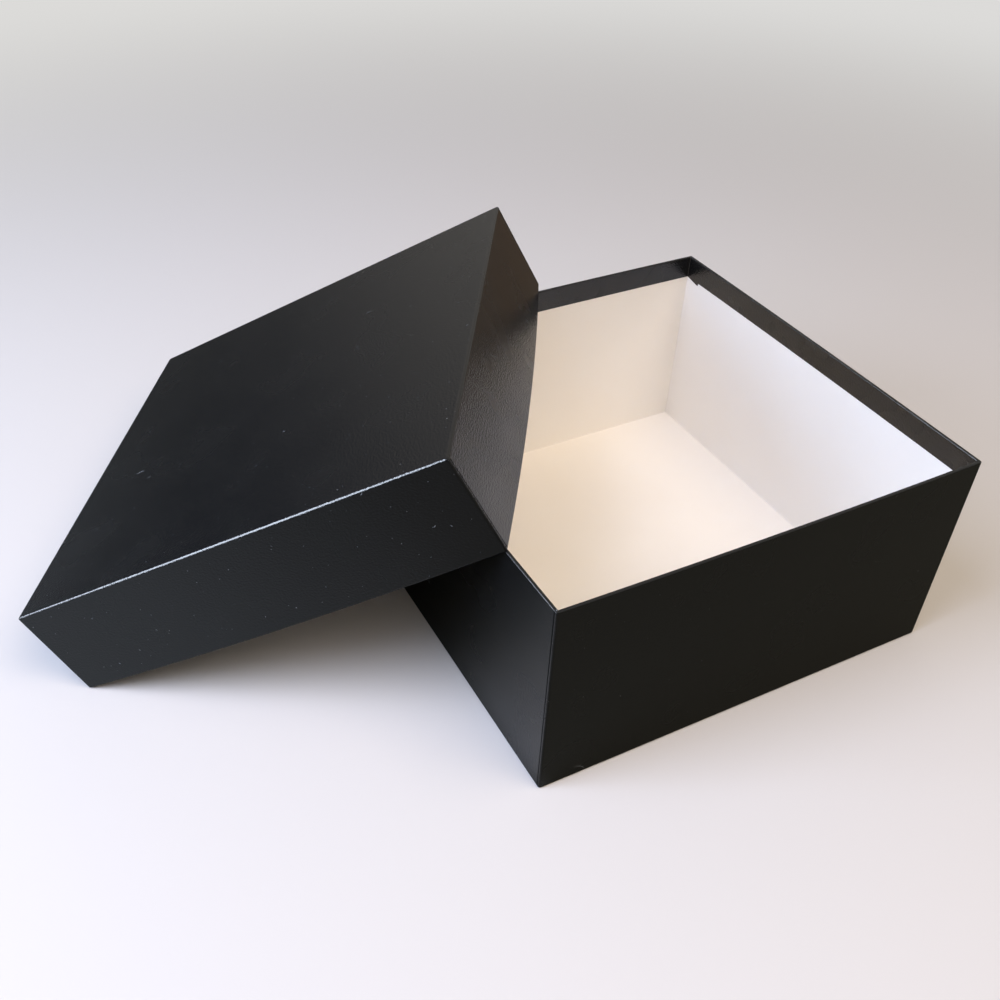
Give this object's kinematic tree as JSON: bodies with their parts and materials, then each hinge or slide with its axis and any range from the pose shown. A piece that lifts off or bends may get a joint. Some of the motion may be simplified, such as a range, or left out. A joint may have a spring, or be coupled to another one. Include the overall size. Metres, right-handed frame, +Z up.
{
  "type": "rigid gift box",
  "caption": "Square two-piece rigid box with a lift-off lid leaning on its open base, black covering paper outside and white board inside.",
  "frame": {"origin": "middle of the underside of the base, at table height", "axes": "+X to the right along the front wall of the base, +Y to its back wall, +Z up; the lid leans on the base's left side"},
  "size_m": [0.3677, 0.3149, 0.1389],
  "materials": {
    "white_board": "matt white lining",
    "black_paper": "satin, fine leather-like emboss"
  },
  "bodies": {
    "base": {"base_board": "white_board", "base_wrap": "black_paper"},
    "lid": {"lid_board": "white_board", "lid_wrap": "black_paper"}
  },
  "joints": [
    {"name": "lid_lift", "type": "slide", "parent": "base", "child": "lid", "axis": [0, 0, 1], "range_m": [0, 0.12]}
  ]
}
